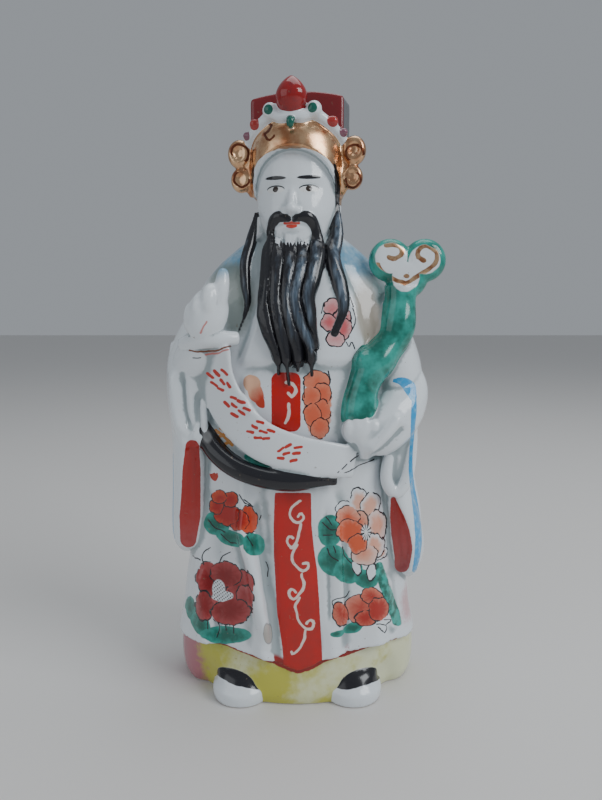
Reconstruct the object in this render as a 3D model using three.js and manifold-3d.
// Porcelain figure of a standing, bearded official with a scroll and a cloud-headed sceptre.
// It is one cast and fired piece, modelled solid. Millimetres, +Z up, and the figure faces -Y.
// The origin is the middle of the flat underside.

import * as THREE from "three";
import { LoftGeometry } from "three/addons/geometries/LoftGeometry.js";
import { mergeVertices } from "three/addons/utils/BufferGeometryUtils.js";
import Module from "manifold-3d";

// Driving dimensions

const HEIGHT = 199.6; // underside to the tip of the cap's jewel
const BASE_HALF_WIDTH = 40.5;
const BASE_FRONT = 26.6;
const BASE_BACK = 24.6;
const SKIRT_TOP = 24;
const HEM_Z = 18; // edge of the robe at the sides and back
const HEM_DIP = 6.5; // how far the edge drops in the middle of the front
const NECK_Z = 154;
const ROBE_ROUNDNESS = 2.3; // 2 is an ellipse, and more is squarer
const SKIRT_ROUNDNESS = 1.9;
const BACK_FOLDS = 5;
const BACK_FOLD_RISE = 0.9;
const BELT_THICKNESS = 6.2;
const SCROLL_THICKNESS = 2.4;
const SCEPTRE_STEM = 5.4; // half width
const SCEPTRE_HEAD_DEPTH = 6.4;
const VENT_RADIUS = 5; // the casting's blind vent in the underside
const VENT_DEPTH = 8;
const VENT_Y = 10;

const HEAD_HEIGHT = 35; // chin to crown, under the cap
const HEAD_HALF_WIDTH = 13.2;
const HAIRLINE_Z = 178.3; // front edge of the cap
const HEAD_X = 0.4;
const HEAD_Y = -1.5;
const HEAD_TURN = THREE.MathUtils.degToRad(-8); // towards the raised hand

// The face is divided by the usual thirds: hairline, brow, base of the nose, chin.
const THIRD = HEAD_HEIGHT / 3.5;
const CHIN_Z = HAIRLINE_Z - 3 * THIRD;
const NOSE_Z = CHIN_Z + THIRD;
const BROW_Z = CHIN_Z + 2 * THIRD;
const EYE_Z = CHIN_Z + HEAD_HEIGHT / 2;
const MOUTH_Z = NOSE_Z - THIRD / 3;

// How finely the forms are faceted
const AROUND = { robeFront: 28, robeBack: 18, skirt: 32, sleeve: 13, arm: 9, head: 16, small: 6, strand: 5 };
const ALONG = { robe: 13, skirt: 4, sleeve: 8, arm: 5, band: 12, strand: 8 };

const PORCELAIN = { color: 0xe9ecea, roughness: 0.18, metalness: 0 };

// Closed forms

const wasm = await Module();
wasm.setup();

function solid(geometry) {
  const bare = new THREE.BufferGeometry();
  bare.setAttribute("position", geometry.getAttribute("position"));
  bare.setIndex(geometry.index);
  const merged = mergeVertices(bare, 1e-4);
  const vertProperties = new Float32Array(merged.attributes.position.array);
  const triVerts = new Uint32Array(merged.index.array);
  return new wasm.Manifold(new wasm.Mesh({ numProp: 3, vertProperties, triVerts }));
}

function loft(sections) {
  return solid(new LoftGeometry(sections, { capStart: true, capEnd: true }));
}

function ellipsoid(centre, radii, turn = [0, 0, 0], around = 12, up = 8) {
  const sphere = new THREE.SphereGeometry(1, around, up);
  sphere.rotateX(Math.PI / 2);
  sphere.scale(...radii);
  const degrees = turn.map((angle) => THREE.MathUtils.degToRad(angle));
  sphere.applyMatrix4(new THREE.Matrix4().makeRotationFromEuler(new THREE.Euler(...degrees)));
  sphere.translate(...centre);
  return solid(sphere);
}

function signedPower(value, power) {
  return Math.sign(value) * Math.abs(value) ** power;
}

// A smooth reading between rows of numbers that are listed by height.
function between(rows, z, key) {
  const last = rows.length - 1;
  const above = rows.findIndex((row) => row.z >= z);
  const i = THREE.MathUtils.clamp(above < 0 ? last : above, 1, last);
  const from = rows[i - 1];
  const to = rows[i];
  const gap = to.z - from.z;
  const t = THREE.MathUtils.clamp((z - from.z) / gap, 0, 1);
  const before = rows[Math.max(i - 2, 0)];
  const after = rows[Math.min(i + 1, last)];
  const slopeIn = ((to[key] - before[key]) / (to.z - before.z)) * gap;
  const slopeOut = ((after[key] - from[key]) / (after.z - from.z)) * gap;
  const t2 = t * t;
  const t3 = t2 * t;
  const start = (2 * t3 - 3 * t2 + 1) * from[key] + (t3 - 2 * t2 + t) * slopeIn;
  return start + (3 * t2 - 2 * t3) * to[key] + (t3 - t2) * slopeOut;
}

// A pile of level ovals: each row gives a height, a centre and half sizes.
function stack(rows, steps, sides, roundness = 2) {
  const bottom = rows[0].z;
  const top = rows[rows.length - 1].z;
  const sections = [];
  for (let i = 0; i <= steps; i++) {
    const z = THREE.MathUtils.lerp(bottom, top, i / steps);
    const [x, y, wide, deep] = ["x", "y", "wide", "deep"].map((key) => between(rows, z, key));
    const section = [];
    for (let j = 0; j < sides; j++) {
      const angle = (j / sides) * 2 * Math.PI;
      const across = wide * signedPower(Math.cos(angle), 2 / roundness);
      const along = deep * signedPower(Math.sin(angle), 2 / roundness);
      section.push(new THREE.Vector3(x + across, y + along, z));
    }
    sections.push(section);
  }
  return loft(sections);
}

// An oval drawn along a smooth path. size(t) gives its half width and half thickness,
// and the thickness points the way that the form faces.
function sweep(path, size, steps, sides, facing = [0, -1, 0]) {
  const curve = new THREE.CatmullRomCurve3(path.map((point) => new THREE.Vector3(...point)));
  const front = new THREE.Vector3(...facing);
  const sections = [];
  for (let i = 0; i <= steps; i++) {
    const t = i / steps;
    const place = curve.getPointAt(t);
    const tangent = curve.getTangentAt(t);
    const out = front.clone().addScaledVector(tangent, -front.dot(tangent)).normalize();
    const side = new THREE.Vector3().crossVectors(out, tangent);
    const [wide, thick] = size(t);
    const section = [];
    for (let j = 0; j < sides; j++) {
      const angle = (j / sides) * 2 * Math.PI;
      const point = place.clone().addScaledVector(side, wide * Math.cos(angle));
      section.push(point.addScaledVector(out, thick * Math.sin(angle)));
    }
    sections.push(section);
  }
  return loft(sections);
}

// A size that swells in the middle and draws in at both ends.
function spindle(wide, thick, endShare = 0.25) {
  return (t) => {
    const swell = endShare + (1 - endShare) * Math.sin(Math.PI * t) ** 0.6;
    return [wide * swell, thick * swell];
  };
}

// A size that tapers from one end to the other.
function taper(startWide, startThick, endShare) {
  return (t) => {
    const left = THREE.MathUtils.lerp(1, endShare, t);
    return [startWide * left, startThick * left];
  };
}

function join(forms) {
  return forms.reduce((whole, form) => whole.add(form));
}

// The outer skin alone: small pockets shut in between joined forms are filled, as slip fills them.
function filled(body) {
  const shells = body.decompose();
  return shells.reduce((largest, shell) => (shell.volume() > largest.volume() ? shell : largest));
}

function mirrorX(points) {
  return points.map(([x, y, z]) => [-x, y, z]);
}

// Robe

const ROBE_ROWS = [
  { z: 10, left: 42.3, right: 41.4, front: 26.4, back: 25.2 },
  { z: 20, left: 42.4, right: 41.8, front: 25.8, back: 25.2 },
  { z: 32, left: 40.2, right: 39.6, front: 24.6, back: 24.2 },
  { z: 44, left: 38.2, right: 37.6, front: 23.6, back: 22.6 },
  { z: 60, left: 36.6, right: 36, front: 22.6, back: 20.8 },
  { z: 76, left: 35.6, right: 34.8, front: 22.4, back: 19.6 },
  { z: 92, left: 36, right: 35.4, front: 22.6, back: 19.2 },
  { z: 106, left: 38.4, right: 37.8, front: 21.4, back: 19 },
  { z: 118, left: 39, right: 37.6, front: 19.8, back: 18.4 },
  { z: 128, left: 36.4, right: 35, front: 18.4, back: 17.4 },
  { z: 136, left: 32.2, right: 31.2, front: 16.8, back: 16 },
  { z: 143, left: 26.6, right: 26.2, front: 14.8, back: 14.6 },
  { z: 148, left: 21, right: 21.2, front: 12.6, back: 13 },
  { z: NECK_Z, left: 13, right: 13.4, front: 9.8, back: 11.6 },
];

// Long folds down the front: where each starts and ends across, its half width and its rise.
const FRONT_FOLDS = [
  { top: -18, foot: -9.5, half: 3.4, rise: 2 },
  { top: -11.5, foot: -6.5, half: 2.6, rise: -1.3 },
  { top: -27, foot: -24, half: 4, rise: -1 },
  { top: 8.5, foot: 12, half: 2.8, rise: 1.3 },
  { top: 14, foot: 17, half: 3, rise: -0.9 },
  { top: 24, foot: 27, half: 4, rise: 1.2 },
  { top: -1.4, foot: 1.9, half: 6.2, rise: 0.9 },
];
const FOLD_TOP = 78;
const FOLD_FOOT = 14;
const CLOSER_AT_NECK = 1.15; // over 1 sets the robe's rings closer near the neck
const HEM_RINGS = 4; // rings over which the wavy edge levels out
const HEM_DIP_HALF = 7.5;
const HEM_WAVE = { rise: 0.9, length: 4.2 };
const SIDE_SHARE = { start: 6, full: 14 }; // depth over which the front folds come in
const BACK_SHARE = { start: 2, full: 10 };
const UPPER_BACK_SHARE = 0.35; // how much of the back folds is left above the belt

function hemAt(x, y) {
  const dip = y < 0 ? HEM_DIP * Math.exp(-((x / HEM_DIP_HALF) ** 2)) : 0;
  return HEM_Z - dip + HEM_WAVE.rise * Math.cos(x / HEM_WAVE.length);
}

function foldRise(x, y, z, angle) {
  const down = THREE.MathUtils.clamp((FOLD_TOP - z) / (FOLD_TOP - FOLD_FOOT), 0, 1);
  const fade = THREE.MathUtils.smoothstep(down, 0, 0.25);
  if (y > 0) {
    const height = THREE.MathUtils.lerp(UPPER_BACK_SHARE, 1, fade) * BACK_FOLD_RISE;
    const share = THREE.MathUtils.smoothstep(y, BACK_SHARE.start, BACK_SHARE.full);
    return share * height * Math.cos(angle * 2 * BACK_FOLDS);
  }
  const share = THREE.MathUtils.smoothstep(-y, SIDE_SHARE.start, SIDE_SHARE.full);
  let rise = 0;
  for (const fold of FRONT_FOLDS) {
    const middle = THREE.MathUtils.lerp(fold.top, fold.foot, down);
    rise += fold.rise * Math.exp(-(((x - middle) / fold.half) ** 2));
  }
  return rise * fade * share;
}

function robePoint(angle, z, lift) {
  const cos = Math.cos(angle);
  const sin = Math.sin(angle);
  const wide = between(ROBE_ROWS, z, cos < 0 ? "left" : "right");
  const deep = between(ROBE_ROWS, z, sin < 0 ? "front" : "back");
  const x = wide * signedPower(cos, 2 / ROBE_ROUNDNESS);
  const y = deep * signedPower(sin, 2 / ROBE_ROUNDNESS);
  const out = new THREE.Vector2(x / wide ** 2, y / deep ** 2).normalize();
  out.multiplyScalar(foldRise(x, y, z, angle));
  return new THREE.Vector3(x + out.x, y + out.y, z + lift * (hemAt(x, y) - z));
}

function robe() {
  const angles = [];
  for (let j = 0; j < AROUND.robeBack; j++) {
    angles.push((j / AROUND.robeBack) * Math.PI);
  }
  for (let j = 0; j < AROUND.robeFront; j++) {
    angles.push((1 + j / AROUND.robeFront) * Math.PI);
  }
  const sections = [];
  for (let i = 0; i <= ALONG.robe; i++) {
    const left = 1 - i / ALONG.robe;
    const z = THREE.MathUtils.lerp(FOLD_FOOT, NECK_Z, 1 - left ** CLOSER_AT_NECK);
    const lift = Math.max(0, 1 - i / HEM_RINGS);
    sections.push(angles.map((angle) => robePoint(angle, z, lift)));
  }
  return loft(sections);
}

// Underskirt and shoes

const SKIRT_ROWS = [
  { z: 0, wide: BASE_HALF_WIDTH - 0.6, front: BASE_FRONT - 1, back: BASE_BACK - 1 },
  { z: 3, wide: BASE_HALF_WIDTH + 0.6, front: BASE_FRONT, back: BASE_BACK },
  { z: 8, wide: BASE_HALF_WIDTH + 1.2, front: BASE_FRONT - 0.4, back: BASE_BACK + 0.2 },
  { z: 14, wide: BASE_HALF_WIDTH + 0.9, front: BASE_FRONT - 1.4, back: BASE_BACK },
  { z: SKIRT_TOP, wide: BASE_HALF_WIDTH - 1.6, front: BASE_FRONT - 3, back: BASE_BACK - 1.4 },
];
const SKIRT_NOTCH = { x: 30.5, half: 4, depth: 3.2, full: 5, gone: 15 }; // fades out going up
const SHOE = { x: 18.6, y: -18.6, wide: 9.8, deep: 9.6, sole: 4.4, top: 12.4 };

function skirt() {
  const sections = [];
  for (let i = 0; i <= ALONG.skirt; i++) {
    const z = (SKIRT_TOP * i) / ALONG.skirt;
    const section = [];
    for (let j = 0; j < AROUND.skirt; j++) {
      const angle = (j / AROUND.skirt) * 2 * Math.PI;
      const sin = Math.sin(angle);
      const wide = between(SKIRT_ROWS, z, "wide");
      const deep = between(SKIRT_ROWS, z, sin < 0 ? "front" : "back");
      const x = wide * signedPower(Math.cos(angle), 2 / SKIRT_ROUNDNESS);
      const y = deep * signedPower(sin, 2 / SKIRT_ROUNDNESS);
      const low = 1 - THREE.MathUtils.smoothstep(z, SKIRT_NOTCH.full, SKIRT_NOTCH.gone);
      const off = (Math.abs(x) - SKIRT_NOTCH.x) / SKIRT_NOTCH.half;
      const notch = y < 0 ? SKIRT_NOTCH.depth * low * Math.exp(-(off ** 2)) : 0;
      section.push(new THREE.Vector3(x, y + notch, z));
    }
    sections.push(section);
  }
  return loft(sections);
}

function shoe(side) {
  const x = side * SHOE.x;
  const rows = [
    { z: -1, x, y: SHOE.y, wide: SHOE.wide - 0.7, deep: SHOE.deep - 0.7 },
    { z: 2, x, y: SHOE.y, wide: SHOE.wide, deep: SHOE.deep },
    { z: SHOE.sole, x, y: SHOE.y, wide: SHOE.wide - 0.2, deep: SHOE.deep - 0.1 },
    { z: SHOE.sole + 1.2, x, y: SHOE.y, wide: SHOE.wide - 1.2, deep: SHOE.deep - 1.4 },
    { z: SHOE.top - 3, x, y: SHOE.y + 1, wide: SHOE.wide - 2.2, deep: SHOE.deep - 3.4 },
    { z: SHOE.top, x, y: SHOE.y + 3, wide: 3, deep: 3 },
  ];
  return stack(rows, ALONG.arm, AROUND.sleeve);
}

// Sleeves

const LEFT_SLEEVE_ROWS = [
  { z: 46.6, x: -38, y: -4, wide: 3, deep: 6 },
  { z: 50, x: -36.8, y: -3.6, wide: 6, deep: 11.6 },
  { z: 56, x: -36.2, y: -3, wide: 7.3, deep: 14 },
  { z: 72, x: -35.3, y: -3, wide: 7.6, deep: 14.8 },
  { z: 88, x: -34.8, y: -3, wide: 8, deep: 15.4 },
  { z: 104, x: -34.4, y: -3, wide: 9.7, deep: 16 },
  { z: 114, x: -33, y: -2.6, wide: 10.2, deep: 15.6 },
  { z: 125, x: -28.6, y: -2, wide: 9.6, deep: 14 },
  { z: 138, x: -21, y: -1, wide: 7, deep: 9 },
];
const RIGHT_SLEEVE_ROWS = [
  { z: 37, x: 38.4, y: -4, wide: 2.6, deep: 5 },
  { z: 41, x: 37.4, y: -3.6, wide: 5.8, deep: 10 },
  { z: 48, x: 36.9, y: -3, wide: 7.6, deep: 13.4 },
  { z: 58, x: 35.6, y: -3, wide: 7.2, deep: 14.2 },
  { z: 70, x: 33.2, y: -3, wide: 6.6, deep: 14.8 },
  { z: 88, x: 32.8, y: -3, wide: 7.8, deep: 15.4 },
  { z: 106, x: 32.6, y: -3, wide: 9.8, deep: 16 },
  { z: 116, x: 30.4, y: -2.6, wide: 10, deep: 15.4 },
  { z: 126, x: 26.4, y: -2, wide: 9.4, deep: 13.6 },
  { z: 138, x: 20, y: -1, wide: 7, deep: 9 },
];

// The mouth of each hanging sleeve, where its coloured lining shows, is a shallow hollow.
const LEFT_LINING = [[-33.4, -18.2, 86], [-34, -18.6, 76], [-34.8, -18.4, 66], [-35.4, -18, 56.5]];
const RIGHT_LINING = [[32, -18.6, 67], [35, -18.6, 59], [35.6, -18, 51], [34, -17.6, 43]];
const LINING_HALF = 3;
const LINING_DEPTH = 1.7;

// A pleat that hangs in a loop from each wrist, and a ridge down each sleeve's outer side.
const LEFT_FOLDS = [
  [
    [-37, -14.5, 114], [-39.4, -13.4, 102], [-38, -15, 91],
    [-34.6, -17, 84.6], [-31, -17.6, 90], [-30, -18.4, 104],
  ],
  [[-40.6, -9, 118], [-41.6, -7, 104], [-40.4, -6.5, 90], [-40.2, -6.5, 74], [-40.8, -6, 58]],
];
const RIGHT_FOLDS = [
  [
    [37.2, -13, 104], [37.4, -15.4, 90], [36, -17.6, 76],
    [32.2, -18.6, 69.6], [28.6, -18.8, 75], [28.6, -18.4, 86],
  ],
  [[39.8, -8, 108], [39, -7, 92], [37.6, -7, 76], [40.8, -6.6, 60], [42.2, -6, 48]],
];
const PLEAT_HALF = 2.4;

function sleeve(rows, lining, folds) {
  const bag = stack(rows, ALONG.sleeve, AROUND.sleeve);
  const mouth = spindle(LINING_HALF, LINING_DEPTH, 0.5);
  const hollow = sweep(lining, mouth, ALONG.arm, AROUND.small);
  const pleat = spindle(PLEAT_HALF, PLEAT_HALF, 0.5);
  const cloth = folds.map((path) => sweep(path, pleat, ALONG.strand, AROUND.strand));
  return join([bag, ...cloth]).subtract(hollow);
}

// Raised hand, with the rolled end of the scroll under it

const RAISED_ARM = [[-35.4, -4, 104], [-33.4, -11, 110], [-28, -19, 118.5]];
const RAISED_SLEEVE = [[-28.5, -15, 118], [-32, -14, 106], [-33.2, -13.5, 96], [-33.6, -14, 88.5]];
const PALM = { at: [-27.8, -23.4, 126], size: [6.4, 4.6, 7.4] };
const FINGERS = [
  { at: [-23.6, -24.8, 132.6], size: [2.5, 2.8, 7] },
  { at: [-27, -26, 130.4], size: [2.5, 2.8, 6] },
  { at: [-30.2, -25.4, 128.6], size: [2.3, 2.8, 5.4] },
  { at: [-32.6, -23.8, 126.4], size: [2.1, 2.8, 4.8] },
  { at: [-24.4, -27.4, 125.6], size: [2.4, 2.6, 4.8] },
];
const FINGER_TURN = [8, -6, 0];
const PALM_TURN = [0, -8, 0];
const ROLL_HALF = 2.8;
const ROLL = [[-36.4, -17.5, 117.8], [-31, -22, 118.9], [-25, -23.8, 119.5], [-18, -22, 119.8]];

function raisedHand() {
  const arm = sweep(RAISED_ARM, spindle(8, 7.6, 0.6), ALONG.arm, AROUND.arm);
  const hanging = sweep(RAISED_SLEEVE, taper(7.6, 5.2, 0.45), ALONG.arm, AROUND.arm);
  const palm = ellipsoid(PALM.at, PALM.size, PALM_TURN, 10, 6);
  const fingers = FINGERS.map(({ at, size }) => ellipsoid(at, size, FINGER_TURN, 6, 4));
  const roll = sweep(ROLL, spindle(ROLL_HALF, ROLL_HALF, 0.7), ALONG.arm, AROUND.arm);
  return join([arm, hanging, palm, ...fingers, roll]);
}

// Scroll: a band that hangs from the roll and curves across the belly

const SCROLL_PATH = [
  [-26.8, -21.4, 117], [-25.2, -20.6, 106], [-20, -22.6, 96],
  [-11.5, -25.4, 88.4], [-1, -26.4, 84.4], [8.5, -26, 82.6], [18, -23.6, 81],
];
const SCROLL_HALF_START = 8;
const SCROLL_HALF_END = 5.2;
const SCROLL_CORNER = 0.5; // under 1 squares the band's section
const BELLY_ROUND = 34; // the larger, the flatter the front that the band lies on

function scroll() {
  const curve = new THREE.CatmullRomCurve3(SCROLL_PATH.map((point) => new THREE.Vector3(...point)));
  const sections = [];
  for (let i = 0; i <= ALONG.band; i++) {
    const t = i / ALONG.band;
    const place = curve.getPointAt(t);
    const out = new THREE.Vector3(place.x / BELLY_ROUND, -1, 0).normalize();
    const side = new THREE.Vector3().crossVectors(out, curve.getTangentAt(t)).normalize();
    const half = THREE.MathUtils.lerp(SCROLL_HALF_START, SCROLL_HALF_END, t);
    const section = [];
    for (let j = 0; j < AROUND.arm; j++) {
      const angle = (j / AROUND.arm) * 2 * Math.PI;
      const across = half * signedPower(Math.cos(angle), SCROLL_CORNER);
      const rise = (SCROLL_THICKNESS / 2) * signedPower(Math.sin(angle), SCROLL_CORNER);
      const point = place.clone().addScaledVector(side, across);
      section.push(point.addScaledVector(out, rise));
    }
    sections.push(section);
  }
  return loft(sections);
}

// Belt: a hoop that dips across the front and sinks under the sleeves

const BELT_PATH = [
  [-33, -10, 95], [-29.6, -15.6, 88.2], [-25.4, -19.8, 83], [-19.3, -22.8, 79],
  [-11, -24.8, 76.4], [-3, -25.4, 75.4], [5, -25.2, 75.4], [12.6, -24, 74.8],
];

function belt() {
  const half = BELT_THICKNESS / 2;
  const size = (t) => {
    const end = 1 - 0.6 * THREE.MathUtils.smoothstep(t, 0.75, 1);
    return [half * 1.1 * end, half * end];
  };
  return sweep(BELT_PATH, size, ALONG.band, AROUND.small);
}

// Lower hand, its sleeve and the sceptre that it holds

const LOWER_ARM = [[35, -5, 110], [35, -11.6, 101], [28.4, -18.4, 91.5], [18, -22.4, 86]];
const FIST = { at: [20, -22.2, 91], size: [6.2, 5, 5.4] };
const FIST_FINGERS = [[-3.9, 1.4], [-1.3, 2], [1.4, 2.2], [3.9, 1.8]]; // across and up from its middle
const FIST_FINGER_SIZE = [1.6, 2, 3.2];
const FIST_FINGER_OUT = 3.4;
const STEM_PATH = [
  [19.4, -20.6, 93], [20.4, -20, 102], [23, -19.4, 109.4], [27, -17.8, 114.6],
  [31, -15.6, 119.8], [32.6, -14, 126], [33.4, -12.8, 136],
];
const STEM_KNOTS = { swell: 0.07, turns: 3 };
const HEAD_PLACE = [35.2, -12, 142.2];
const HEAD_LOBES = [
  { x: -5.4, z: 2, radius: 6.9 },
  { x: 5.6, z: 2, radius: 6.9 },
  { x: 0, z: -3.4, radius: 6.8 },
];

function lowerHand() {
  const arm = sweep(LOWER_ARM, spindle(8.6, 8, 0.55), ALONG.arm, AROUND.arm);
  const fist = ellipsoid(FIST.at, FIST.size);
  const [x, y, z] = FIST.at;
  const fingers = FIST_FINGERS.map(([across, up]) => {
    return ellipsoid([x + across, y - FIST_FINGER_OUT, z + up], FIST_FINGER_SIZE, undefined, 5, 4);
  });
  return join([arm, fist, ...fingers]);
}

function lobe({ x, z, radius }) {
  const half = SCEPTRE_HEAD_DEPTH / 2;
  const profile = [];
  const steps = 4;
  profile.push(new THREE.Vector2(0, -half));
  for (let i = 0; i <= steps; i++) {
    const angle = (i / steps - 0.5) * Math.PI;
    profile.push(new THREE.Vector2(radius - half + half * Math.cos(angle), half * Math.sin(angle)));
  }
  profile.push(new THREE.Vector2(0, half));
  const disc = new THREE.LatheGeometry(profile, 13);
  disc.translate(HEAD_PLACE[0] + x, HEAD_PLACE[1], HEAD_PLACE[2] + z);
  return solid(disc);
}

function sceptre() {
  const size = (t) => {
    const half = SCEPTRE_STEM * (1 + STEM_KNOTS.swell * Math.sin(t * STEM_KNOTS.turns * 2 * Math.PI));
    return [half, half * 0.92];
  };
  const stem = sweep(STEM_PATH, size, ALONG.band, 8);
  return join([stem, ...HEAD_LOBES.map(lobe)]);
}

// Head, in its own frame: x = 0 and y = 0 on the axis of the neck, turned as one at the end

const SKULL_ROWS = [
  { z: CHIN_Z - 0.8, x: 0, y: -7, wide: 4, deep: 4.6 },
  { z: CHIN_Z + 2, x: 0, y: -5.4, wide: 8, deep: 8.3 },
  { z: MOUTH_Z, x: 0, y: -3.6, wide: 11, deep: 10.6 },
  { z: NOSE_Z + 2, x: 0, y: -2, wide: HEAD_HALF_WIDTH - 0.4, deep: 12.8 },
  { z: BROW_Z, x: 0, y: -0.6, wide: HEAD_HALF_WIDTH + 0.4, deep: 14 },
  { z: BROW_Z + 7, x: 0, y: 0, wide: HEAD_HALF_WIDTH + 0.2, deep: 13.7 },
  { z: HAIRLINE_Z + 3, x: 0, y: 0, wide: 11.6, deep: 11.6 },
];

const FACE_FORMS = {
  chin: { at: [0, -10.4, CHIN_Z + 2.4], size: [4.4, 3.6, 2.8] },
  bridge: { at: [0, -14.6, NOSE_Z + 3.8], size: [1.7, 2, 4.2], turn: [-12, 0, 0] },
  tip: { at: [0, -15.8, NOSE_Z + 1.5], size: [2, 1.9, 1.6] },
  lips: { at: [0, -13.7, MOUTH_Z], size: [3, 1.2, 1.5] },
  leftBrow: { at: [-4.9, -12.7, BROW_Z + 0.6], size: [4.2, 1.8, 1.5], turn: [0, 0, -14] },
  rightBrow: { at: [4.9, -12.7, BROW_Z + 0.6], size: [4.2, 1.8, 1.5], turn: [0, 0, 14] },
};

function face() {
  const forms = Object.values(FACE_FORMS).map(({ at, size, turn }) => ellipsoid(at, size, turn, 6, 5));
  return join([stack(SKULL_ROWS, ALONG.strand, AROUND.head), ...forms]);
}

const BACK_HAIR_ROWS = [
  { z: 146, x: 0, y: 2, wide: 14.6, deep: 10.5 },
  { z: 154, x: 0, y: 2.4, wide: 13.8, deep: 10.6 },
  { z: 164, x: 0, y: 2.6, wide: 14.2, deep: 11.6 },
  { z: 174, x: 0, y: 2, wide: 14.4, deep: 12.6 },
];

function backHair() {
  return stack(BACK_HAIR_ROWS, BACK_HAIR_ROWS.length - 1, AROUND.head);
}

// Cap: a gold dome with an open brow, a cloud crest with beads, a jewel, a back board, side scrolls

const DOME = { z: 172.4, wide: 15.9, deep: 16.4, tall: 15.4, foot: 166 };
const CREST_HALF = [
  [0, -15.8, 187], [3.4, -14.8, 186.6], [7.2, -12.8, 188.6],
  [12, -9.8, 185.2], [15.2, -6.6, 182.4], [16, -4, 179.6],
];
const CREST_SIZE = 2.5;
const BEADS = [
  { x: 7.2, y: -13.4, z: 190.2, radius: 2.1 },
  { x: 12.2, y: -10, z: 187, radius: 1.7 },
  { x: 15, y: -7.4, z: 184.2, radius: 1.5 },
];
const MIDDLE_BEAD = { at: [0, -17.2, 185.4], size: [1.5, 1.5, 1.9] };
const BOARD = {
  halfFront: 15, halfBack: 16.6, front: -4.4, back: 6,
  foot: 180, end: 196, middle: 197.9, // heights: foot, ends and middle of the top
  edge: 0.9,
};
const JEWEL = { y: -8.8, wide: 4.8, deep: 7.4, z: 193.8 };
const SIDE_SCROLLS = [
  { x: 18.9, z: 179.2, radius: 4.2 },
  { x: 18.3, z: 171.4, radius: 3.5 },
];
const SIDE_SCROLL_Y = -4.6;
const SIDE_SCROLL_HALF = 1.9; // half of its thickness
const SCROLL_RIM = [[0, 0.45], [0.42, 0.45], [0.78, 1], [1, 0]]; // shares of the radius and thickness
const SIDE_STRIP = { at: [15.6, -4.4, 175], size: [2.2, 2.2, 8] };

function dome() {
  const shell = ellipsoid([0, 0, DOME.z], [DOME.wide, DOME.deep, DOME.tall], undefined, 18, 9);
  const below = new THREE.BoxGeometry(4 * DOME.wide, 4 * DOME.deep, DOME.tall);
  below.translate(0, 0, DOME.foot - DOME.tall / 2);
  const brow = new THREE.CylinderGeometry(1, 1, DOME.deep, AROUND.head);
  brow.scale(HEAD_HALF_WIDTH + 0.2, 1, HAIRLINE_Z - DOME.foot);
  brow.translate(0, -0.8 * DOME.deep, DOME.foot);
  return shell.subtract(solid(below)).subtract(solid(brow));
}

function crest() {
  const path = [...mirrorX(CREST_HALF.slice(1)).reverse(), ...CREST_HALF];
  const band = sweep(path, spindle(CREST_SIZE, CREST_SIZE, 0.6), 10, AROUND.small, [0, -1, 0.2]);
  const beads = BEADS.flatMap(({ x, y, z, radius }) => {
    return [-x, x].map((across) => ellipsoid([across, y, z], [radius, radius, radius], undefined, 5, 4));
  });
  return join([band, ...beads, ellipsoid(MIDDLE_BEAD.at, MIDDLE_BEAD.size, undefined, 5, 4)]);
}

// One upright outline of the board, with its arched top.
function boardOutline(y, half) {
  const section = [];
  for (let i = 0; i <= AROUND.small; i++) {
    const across = 1 - (2 * i) / AROUND.small;
    const fall = (BOARD.middle - BOARD.end) * across ** 2;
    section.push(new THREE.Vector3(half * across, y, BOARD.middle - fall));
  }
  section.push(new THREE.Vector3(-half + BOARD.edge, y, BOARD.foot));
  section.push(new THREE.Vector3(half - BOARD.edge, y, BOARD.foot));
  return section;
}

function board() {
  return loft([
    boardOutline(BOARD.back, BOARD.halfBack - BOARD.edge),
    boardOutline(BOARD.back - BOARD.edge, BOARD.halfBack),
    boardOutline(BOARD.front + BOARD.edge, BOARD.halfFront),
    boardOutline(BOARD.front, BOARD.halfFront - BOARD.edge),
  ]);
}

function jewel() {
  const tall = HEIGHT - JEWEL.z;
  const profile = [];
  for (let i = 0; i <= ALONG.strand; i++) {
    const rise = -1 + (2 * i) / ALONG.strand;
    const radius = JEWEL.wide * (1 - Math.abs(rise) ** 1.7) ** 0.75;
    profile.push(new THREE.Vector2(radius, tall * rise));
  }
  const drop = new THREE.LatheGeometry(profile, 10);
  drop.rotateX(Math.PI / 2);
  drop.scale(1, JEWEL.deep / JEWEL.wide, 1);
  drop.translate(0, JEWEL.y, JEWEL.z);
  return solid(drop);
}

// A round scroll with a raised rim and a hollow on both faces.
function sideScroll(x, z, radius) {
  const outline = [...SCROLL_RIM.slice(0, -1).map(([out, rise]) => [out, -rise])];
  outline.push(...SCROLL_RIM.toReversed());
  const profile = outline.map(([out, rise]) => {
    return new THREE.Vector2(out * radius, rise * SIDE_SCROLL_HALF);
  });
  const curl = new THREE.LatheGeometry(profile, 10);
  curl.translate(x, SIDE_SCROLL_Y, z);
  return solid(curl);
}

function sideScrolls(side) {
  const forms = SIDE_SCROLLS.map(({ x, z, radius }) => sideScroll(side * x, z, radius));
  const [x, y, z] = SIDE_STRIP.at;
  forms.push(ellipsoid([side * x, y, z], SIDE_STRIP.size, undefined, 6, 5));
  return join(forms);
}

// Beard, moustache and side locks: raised strands that lie on the chest

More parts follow.
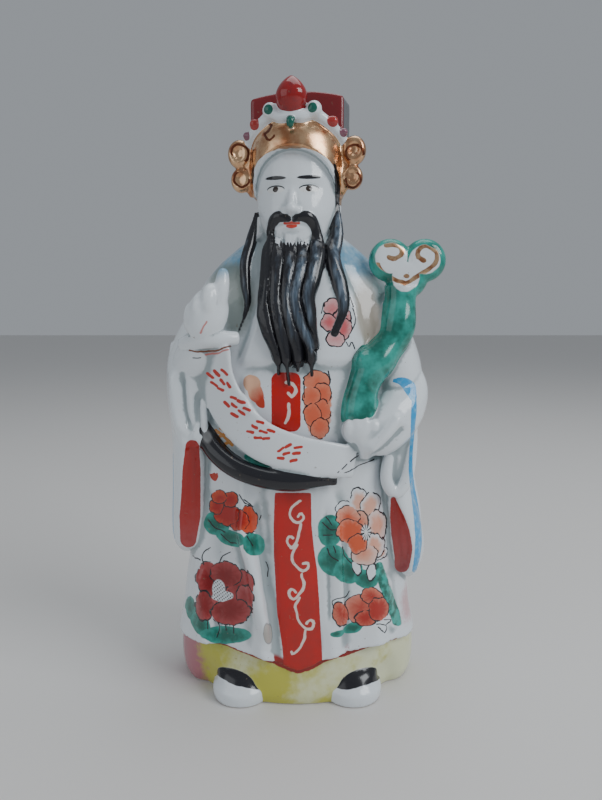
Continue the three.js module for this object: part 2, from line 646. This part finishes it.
const BEARD_STRANDS = [
  {
    wide: 2.6,
    path: [
      [-7.4, -11, 155], [-9, -14, 147], [-9.6, -18.2, 138], [-10, -20, 130],
      [-8.4, -21.4, 122], [-6, -22, 114], [-5.7, -21.6, 108.4],
    ],
  },
  {
    wide: 3,
    path: [
      [-5.6, -13, 151], [-6, -17, 143], [-6.6, -20.2, 133],
      [-5, -21.8, 122], [-3.4, -22.4, 113], [-2.4, -21.8, 105.2],
    ],
  },
  {
    wide: 3,
    path: [
      [-2, -13.6, 150], [-2.2, -18, 141], [-3.2, -21, 131],
      [-1.4, -22.2, 122], [0.2, -22.4, 115], [0.3, -21.8, 109.4],
    ],
  },
  {
    wide: 2.8,
    path: [
      [2.6, -13, 150], [1.2, -18.2, 141], [-0.8, -21, 133],
      [0.8, -22, 125], [4, -22.2, 118], [4.8, -21.8, 108],
    ],
  },
  {
    wide: 2.4,
    path: [
      [5.4, -11, 154], [5.9, -15, 146], [4.4, -19, 138.6],
      [2.9, -20.8, 132], [4.2, -21.4, 125], [5.6, -21.4, 117],
    ],
  },
];
const SIDE_LOCKS = [
  {
    wide: 2,
    path: [
      [-13.6, -7, 158], [-15.2, -10.6, 151], [-17, -13.2, 143.6],
      [-16.2, -16, 136], [-15.6, -17.4, 130], [-18.4, -17.6, 121.4],
    ],
  },
  {
    wide: 2.5,
    path: [
      [12.8, -8, 160], [12.6, -10.8, 152], [11.6, -14.2, 144.4],
      [13.4, -16.2, 136.4], [14.4, -17.6, 129], [11.4, -19.2, 121],
    ],
  },
];
const STRAND_THICKNESS = 4;
const MOUSTACHE = { wide: 1.9, thick: 1.5 };
const MOUSTACHE_HALF = [
  [0.6, -15.4, NOSE_Z - 1], [4.4, -14.6, NOSE_Z - 0.6], [7, -12.4, MOUTH_Z],
  [7.6, -11.6, CHIN_Z + 1.4], [7.4, -12.6, CHIN_Z - 4],
];

// A strand swells below its root and runs out to a fine tip.
function strand({ path, wide }) {
  const size = (t) => {
    const root = THREE.MathUtils.lerp(0.55, 1, THREE.MathUtils.smoothstep(t, 0, 0.25));
    const tip = 1 - 0.8 * THREE.MathUtils.smoothstep(t, 0.45, 1);
    return [wide * root * tip, (STRAND_THICKNESS / 2) * root * (0.4 + 0.6 * tip)];
  };
  return sweep(path, size, ALONG.strand, AROUND.strand);
}

function moustache(side) {
  const path = side < 0 ? mirrorX(MOUSTACHE_HALF) : MOUSTACHE_HALF;
  return sweep(path, spindle(MOUSTACHE.wide, MOUSTACHE.thick, 0.5), AROUND.small, AROUND.strand);
}

// Whole figure

function headAndCap() {
  const forms = [face(), backHair(), dome(), crest(), board(), jewel()];
  forms.push(sideScrolls(-1), sideScrolls(1), moustache(-1), moustache(1));
  return join(forms)
    .rotate([0, 0, THREE.MathUtils.radToDeg(HEAD_TURN)])
    .translate([HEAD_X, HEAD_Y, 0]);
}

function underside() {
  const ground = new THREE.BoxGeometry(200, 200, 20);
  ground.translate(0, 0, -10);
  const vent = new THREE.CylinderGeometry(VENT_RADIUS - 0.6, VENT_RADIUS, 2 * VENT_DEPTH, 24);
  vent.rotateX(Math.PI / 2);
  vent.translate(0, VENT_Y, 0);
  return solid(ground).add(solid(vent));
}

function figure() {
  const forms = [robe(), skirt(), shoe(-1), shoe(1)];
  forms.push(sleeve(LEFT_SLEEVE_ROWS, LEFT_LINING, LEFT_FOLDS));
  forms.push(sleeve(RIGHT_SLEEVE_ROWS, RIGHT_LINING, RIGHT_FOLDS));
  forms.push(raisedHand(), scroll(), belt(), lowerHand(), sceptre(), headAndCap());
  forms.push(...BEARD_STRANDS.map(strand), ...SIDE_LOCKS.map(strand));
  return filled(join(forms)).subtract(underside());
}

function meshOf(name, body, finish) {
  const { vertProperties, triVerts } = body.getMesh();
  const geometry = new THREE.BufferGeometry();
  geometry.setAttribute("position", new THREE.BufferAttribute(vertProperties, 3));
  geometry.setIndex(new THREE.BufferAttribute(triVerts, 1));
  geometry.computeVertexNormals();
  const mesh = new THREE.Mesh(geometry, new THREE.MeshStandardMaterial(finish));
  mesh.name = name;
  return mesh;
}

const group = new THREE.Group();
group.add(meshOf("figure", figure(), PORCELAIN));

export default group;
